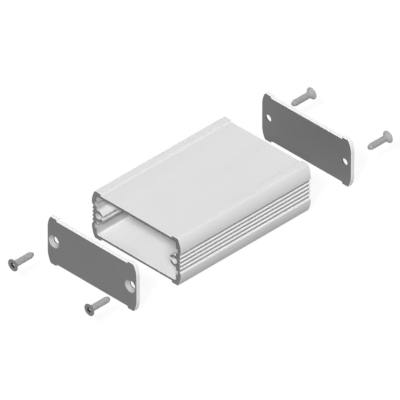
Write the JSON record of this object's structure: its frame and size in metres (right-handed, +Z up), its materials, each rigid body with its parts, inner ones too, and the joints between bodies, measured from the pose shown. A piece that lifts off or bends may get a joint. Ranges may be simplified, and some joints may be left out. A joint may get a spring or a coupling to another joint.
{
  "type": "extruded aluminium enclosure",
  "caption": "Ribbed aluminium tube section with board slots and screw channels, its countersunk end plates and screws drawn off along its length.",
  "frame": {"origin": "under the middle of the tube section, on the surface that its foot bands stand on", "axes": "+Y along the extrusion from the front end to the rear end, +X across the width, +Z up"},
  "size_m": [0.055, 0.1842, 0.025],
  "materials": {
    "extrusion": "clear anodised, with fine lines along the extrusion; sawn ends duller",
    "end_plate": "dark grey faces, bright machined edges and countersinks",
    "screw": "bright zinc plate"
  },
  "bodies": {
    "section": {"extruded_body": "extrusion"},
    "front_plate": {"front_end_plate": "end_plate"},
    "rear_plate": {"rear_end_plate": "end_plate"},
    "screw_front_left": {"front_left_screw": "screw"},
    "screw_front_right": {"front_right_screw": "screw"},
    "screw_rear_left": {"rear_left_screw": "screw"},
    "screw_rear_right": {"rear_right_screw": "screw"}
  },
  "joints": [
    {"name": "front_plate_on", "type": "slide", "parent": "section", "child": "front_plate", "axis": [0, 1, 0], "range_m": [0, 0.025]},
    {"name": "rear_plate_on", "type": "slide", "parent": "section", "child": "rear_plate", "axis": [0, -1, 0], "range_m": [0, 0.025]},
    {"name": "front_left_screw_in", "type": "slide", "parent": "front_plate", "child": "screw_front_left", "axis": [0, 1, 0], "range_m": [0, 0.025]},
    {"name": "front_right_screw_in", "type": "slide", "parent": "front_plate", "child": "screw_front_right", "axis": [0, 1, 0], "range_m": [0, 0.025]},
    {"name": "rear_left_screw_in", "type": "slide", "parent": "rear_plate", "child": "screw_rear_left", "axis": [0, -1, 0], "range_m": [0, 0.025]},
    {"name": "rear_right_screw_in", "type": "slide", "parent": "rear_plate", "child": "screw_rear_right", "axis": [0, -1, 0], "range_m": [0, 0.025]}
  ]
}
